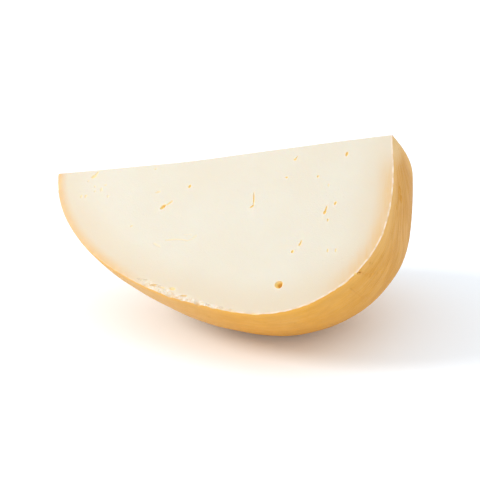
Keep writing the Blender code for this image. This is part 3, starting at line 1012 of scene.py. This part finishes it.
def finish_paste(material, axis, look, clouds, grain, streaks):
    """The ivory cut paste: clouds, knife drag, golden fade, a painted highlight along the rim, the torn
    strip, and eyes with painted glow and shade.
    """
    bench = Bench(material.node_tree, look.ivory)
    place = bench.place(axis)
    along = bench.node("ShaderNodeSeparateXYZ", {0: place}).outputs["X"]
    under_rind = bench.attribute("under_rind")
    under_cut = bench.attribute("under_cut")
    torn = bench.attribute("torn")

    cloud = bench.mask(clouds, place, Spread=0.035, Softness=0.25)
    drag = bench.mask(streaks, place, Stretch=(40, 420, 420))
    bench.lay(look.warm_ivory, cloud)
    bench.lay(look.warm_ivory, drag, 0.12)

    # The fades: a broad warm one along the whole rind, and a golden one by the blunt end and the tip.
    radius = bench.radius(place)
    off_axis = bench.span(radius, 0.0, 0.030, 0.45, 0.85)
    bench.lay(look.warm_fade, bench.span(under_rind, 0.024, 0.003), off_axis)
    blunt = bench.times(bench.span(along, 0.048, 0.082), bench.span(radius, 0.004, 0.030))
    tip = bench.span(along, -0.030, -0.058)
    wisp = bench.mask(streaks, place, Stretch=(420, 45, 45))
    near_blunt = bench.times(bench.span(under_rind, 0.0105, 0.0008), bench.span(wisp, 0.0, 1.0, 0.75, 1.0))
    near_tip = bench.span(under_rind, 0.0062, 0.0002)
    gold = bench.math("MAXIMUM", bench.times(blunt, near_blunt), bench.times(tip, near_tip))
    everywhere = bench.span(under_rind, 0.0016, 0.0, 0.0, 0.55)
    bench.lay(look.golden_fade, bench.math("MAXIMUM", gold, everywhere))

    # The pale broken line along the rind, which the tip doesn't have: a painted highlight where the worn rim
    # catches the light.
    rim = bench.times(bench.span(under_rind, 0.0011, 0.0007), bench.span(under_rind, -0.0002, 0.0001))
    rim_cloud = bench.mask(clouds, place, Spread=0.004, Softness=0.16)
    bench.lay(look.rim, rim, bench.span(rim_cloud, 0.0, 1.0, 0.15, 1.0), bench.span(along, -0.055, 0.070))

    # The torn strip: white flakes, cream between them, and fine golden cracks.
    flakes = bench.mask(clouds, place, Spread=0.0018, Softness=0.12)
    flaked = bench.times(torn, bench.span(flakes, 0.0, 1.0, 0.35, 1.0))
    # The lips round the eyes are whitened here as a painted highlight.
    bench.lay(look.torn, bench.math("MAXIMUM", flaked, bench.attribute("lips")))
    ridge = bench.math("ABSOLUTE", bench.math("SUBTRACT", bench.noise(place, 420, detail=2.0), 0.5))
    bench.lay(look.golden_fade, torn, bench.span(ridge, 0.035, 0.010, 0.0, 0.65))

    # Painted light in the hollows: a golden glow of light through the paste in eyes and hollows, golden
    # painted shade in the drag marks, and painted shade darkening the deepest floors; weaker in the torn
    # strip.
    whole = bench.math("SUBTRACT", 1.0, bench.times(torn, 0.5))
    hollow = bench.times(bench.span(under_cut, 0.00018, 0.0008), whole)
    shallow = bench.math("MAXIMUM", bench.times(bench.attribute("stain"), 0.8), hollow)
    shallow = bench.math("MAXIMUM", bench.times(bench.attribute("drag"), 0.36), shallow)
    bench.lay(bench.mix(torn, look.golden_hollow_light, look.golden_fade), shallow)
    bench.lay(look.deep_hollow_shade, bench.span(under_cut, 0.0008, 0.0015), whole)

    pitted = bench.group(grain, place, Grain=0.0007, Pits=0.5)
    bump = bench.node("ShaderNodeBump", {"Strength": 0.25, "Distance": 0.0003, "Height": pitted["Height"]})
    bench.finish(
        Base_Color=bench.colour,
        Roughness=bench.span(cloud, 0.0, 1.0, look.roughness - 0.05, look.roughness + 0.05),
        Normal=bump.outputs[0],
        Subsurface_Weight=0.30,
        Subsurface_Radius=(0.0020, 0.0012, 0.0006),
        Subsurface_Scale=1.0,
    )


def finish_rind(material, axis, look, clouds, grain, streaks):
    """The golden rind: dry clouds, streaks, a painted highlight by the cuts, a painted reflection towards the
    narrow end, and creases and pits, the creases darkened with painted shade.
    """
    bench = Bench(material.node_tree, look.gold)
    place = bench.place(axis)
    parts = bench.node("ShaderNodeSeparateXYZ", {0: place}).outputs
    under_rind = bench.attribute("under_rind")
    under_cut = bench.attribute("under_cut")

    # Streaks run from end to end of the cheese, so they are drawn out in its length and radius.
    radius = bench.radius(place)
    turned = bench.math("ARCTAN2", parts["Y"], bench.times(parts["Z"], -1))
    unrolled = bench.node("ShaderNodeCombineXYZ", {0: turned, 1: radius, 2: parts["X"]}).outputs[0]
    streak = bench.mask(streaks, unrolled, Stretch=(60, 50, 50))
    fine_streak = bench.mask(streaks, unrolled, Stretch=(190, 110, 110))

    cloud = bench.mask(clouds, place, Spread=0.022, Softness=0.22)
    # Paler tan towards the narrow end is a painted reflection of the floor on the grazing rind; the cloud
    # part is the rind's own drier tone.
    narrow = bench.span(parts["X"], 0.020, -0.045)
    bench.lay(look.tan, bench.math("ADD", bench.times(cloud, 0.25), bench.times(narrow, 0.8)))
    blunt = bench.span(parts["X"], 0.060, 0.088)
    bench.lay(look.brown, streak, bench.span(blunt, 0.0, 1.0, 0.18, 0.55))
    bench.lay(look.tan, fine_streak, 0.22)
    mottle = bench.mask(clouds, place, Spread=0.006, Softness=0.14)
    bench.lay(look.brown, mottle, 0.16)

    # The blunt end: darker away from the shown cut, broad streaks, paler by its middle, and a painted
    # highlight by its rims.
    broad_streak = bench.mask(streaks, unrolled, Stretch=(13, 45, 45))
    bench.lay(look.brown, blunt, bench.span(turned, -0.4, 0.6, 0.0, 0.45))
    bench.lay(look.brown, blunt, bench.span(broad_streak, 0.2, 1.0, 0.0, 0.38))
    bench.lay(look.tan, blunt, bench.span(broad_streak, 0.8, 0.0, 0.0, 0.22))
    golden = bench.mix(0.45, look.amber_highlight, look.pale_tan)
    bench.lay(golden, bench.span(under_cut, 0.0100, 0.0020), blunt, 0.6)
    pole = bench.times(bench.span(radius, 0.019, 0.007), blunt)
    bench.lay(look.pale_tan, pole, bench.span(broad_streak, 0.0, 1.0, 0.95, 0.65))
    # The bright band beside the cuts is a painted highlight.
    band = bench.times(bench.span(under_cut, 0.0050, 0.0004), bench.span(cloud, 0.0, 1.0, 0.85, 0.55))
    bench.lay(look.amber_highlight, band, bench.span(blunt, 0.0, 1.0, 1.0, 0.0))
    # Darker below the rind's surface: real brown specks in the pits, painted shade in the creases, and
    # painted shade on the flat spot where the wedge lies.
    bench.lay(look.crease, bench.span(under_rind, 0.00018, 0.0007))

    pitted = bench.group(grain, place, Grain=0.0012, Pits=0.5)
    bench.lay(look.brown, pitted["Pit Mask"], 0.45)
    height = bench.math("ADD", pitted["Height"], bench.times(fine_streak, 0.6))
    bump = bench.node("ShaderNodeBump", {"Strength": 0.35, "Distance": 0.0005, "Height": height})
    bench.finish(
        Base_Color=bench.colour,
        Roughness=bench.span(cloud, 0.0, 1.0, look.roughness - 0.07, look.roughness + 0.07),
        Specular_IOR_Level=0.13,
        Normal=bump.outputs[0],
        Subsurface_Weight=0.06,
        Subsurface_Radius=(0.0015, 0.0008, 0.0003),
        Subsurface_Scale=1.0,
    )


class PROVOLONE_OT_cut_wedge(bpy.types.Operator):
    """Cut the wedge from the whole cheese and give it its paste and rind"""

    bl_idname = "provolone.cut_wedge"
    bl_label = "Cut wedge"

    def execute(self, context):
        scene = context.scene
        cheese = Cheese(scene.provolone_size, scene.provolone_rind)
        paste = new_material("cheese_paste")
        rind = new_material("golden_rind")

        bench = new_collection("cutting_bench")
        marks = new_collection("cutting_marks")
        axis = bpy.data.objects.new("cheese_axis", None)
        axis.rotation_euler.y = -scene.provolone_size.blunt_end_raised
        bench.objects.link(axis)
        whole = make_whole_cheese(cheese, bench, axis, rind)
        front = make_face("front_face", cheese, bench, axis, 1)
        back = make_face("back_face", cheese, bench, axis, -1)
        back_eyes = draw_back_eyes(cheese)
        front_knife = make_knife("front_knife", cheese, bench, front, 1, FRONT_EYES.values(), paste)
        back_knife = make_knife("back_knife", cheese, bench, back, -1, back_eyes.values(), paste)
        cut(whole, "front_cut", front_knife)
        cut(whole, "back_cut", back_knife)
        lay_in_frame(axis, whole, scene.provolone_size.flat_spot_depth)

        make_eyes(cheese, marks, front, 1, FRONT_EYES, paste)
        make_edge_chips(cheese, marks, front, paste)
        make_eyes(cheese, marks, back, -1, back_eyes, paste)
        cut(whole, "marks", marks)
        cut(whole, "flat_spot", make_floor_level(cheese, bench, rind))

        mesh = bpy.data.meshes.new_from_object(evaluated(whole))
        mesh.name = "dressed_provolone"
        keep_depths(mesh, cheese, FRONT_EYES.values(), back_eyes.values())
        mesh.transform(axis.matrix_world)
        effects = (make_clouds(), make_grain(), make_streaks())
        finish_paste(paste, axis, scene.provolone_paste, *effects)
        finish_rind(rind, axis, scene.provolone_rind, *effects)
        mesh.shade_smooth()
        mesh.set_sharp_from_angle(angle=SHARP_ANGLE)
        wedge = bpy.data.objects.new("dressed_provolone", mesh)
        scene.collection.objects.link(wedge)
        for collection in (bench, marks):
            for obj in list(collection.objects):
                bpy.data.objects.remove(obj, do_unlink=True)
            bpy.data.collections.remove(collection)

        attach(wedge, BODY)
        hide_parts(WEDGE_NODE)
        return {"FINISHED"}


def aim(obj, target):
    """Turns a light or camera to look at a place."""
    obj.rotation_euler = (target - obj.location).to_track_quat("-Z", "Y").to_euler()


class PROVOLONE_OT_set_studio(bpy.types.Operator):
    """Set the pale floor, the soft light and the camera"""

    bl_idname = "provolone.set_studio"
    bl_label = "Set studio"

    def execute(self, context):
        scene = context.scene
        studio = scene.provolone_studio
        target = (CAD_LOW + CAD_HIGH) / 2 + Vector(STUDIO_AIM_OFFSET)

        material = new_material("studio_floor")
        white = (1.0, 1.0, 1.0)
        Bench(material.node_tree).finish(
            Base_Color=studio.floor, Roughness=0.9, Emission_Color=white, Emission_Strength=studio.floor_glow
        )
        bm = bmesh.new()
        bmesh.ops.create_grid(bm, x_segments=1, y_segments=1, size=studio.floor_width / 2)
        floor = object_from(bm, "studio_floor", scene.collection, None, material)
        floor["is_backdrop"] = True

        world = bpy.data.worlds.new("studio_surround")
        world.use_nodes = True
        background = world.node_tree.nodes["Background"]
        background.inputs["Color"].default_value = (*studio.surround_colour, 1)
        background.inputs["Strength"].default_value = studio.surround
        scene.world = world

        lamp = bpy.data.lights.new("key_light", "AREA")
        lamp.shape = "DISK"
        lamp.size = studio.key_width
        lamp.energy = studio.key_power
        lamp.color = studio.key_colour
        key = bpy.data.objects.new("key_light", lamp)
        key.location = studio.key_place
        aim(key, target)
        scene.collection.objects.link(key)

        lens = bpy.data.cameras.new("studio_camera")
        lens.sensor_fit = "HORIZONTAL"
        lens.angle = studio.field_of_view
        camera = bpy.data.objects.new("studio_camera", lens)
        level = math.cos(studio.elevation)
        camera.location = target + studio.distance * Vector(
            (math.sin(studio.azimuth) * level, -math.cos(studio.azimuth) * level, math.sin(studio.elevation))
        )
        aim(camera, target)
        scene.collection.objects.link(camera)
        scene.camera = camera
        scene.view_settings.view_transform = "Standard"
        return {"FINISHED"}


class PROVOLONE_PT_kitchen(bpy.types.Panel):
    bl_label = "Provolone"
    bl_idname = "PROVOLONE_PT_kitchen"
    bl_space_type = "VIEW_3D"
    bl_region_type = "UI"
    bl_category = "Provolone"

    def draw(self, context):
        scene = context.scene
        for title, group, operators in (
            ("Wedge", scene.provolone_size, ("provolone.cut_wedge",)),
            ("Paste", scene.provolone_paste, ()),
            ("Rind", scene.provolone_rind, ()),
            ("Studio", scene.provolone_studio, ("provolone.set_studio",)),
        ):
            box = self.layout.box()
            box.label(text=title)
            for name in group.__annotations__:
                box.prop(group, name)
            for operator in operators:
                box.operator(operator)


GROUPS = {
    "provolone_size": ProvoloneSize,
    "provolone_paste": ProvolonePaste,
    "provolone_rind": ProvoloneRind,
    "provolone_studio": ProvoloneStudio,
}
CLASSES = (*GROUPS.values(), PROVOLONE_OT_cut_wedge, PROVOLONE_OT_set_studio, PROVOLONE_PT_kitchen)


def register():
    for cls in CLASSES:
        bpy.utils.register_class(cls)
    for name, group in GROUPS.items():
        setattr(bpy.types.Scene, name, PointerProperty(type=group))


def unregister():
    for name in GROUPS:
        delattr(bpy.types.Scene, name)
    for cls in reversed(CLASSES):
        bpy.utils.unregister_class(cls)


def main():
    register()
    bpy.ops.provolone.cut_wedge()
    bpy.ops.provolone.set_studio()


if __name__ == "__main__":
    main()
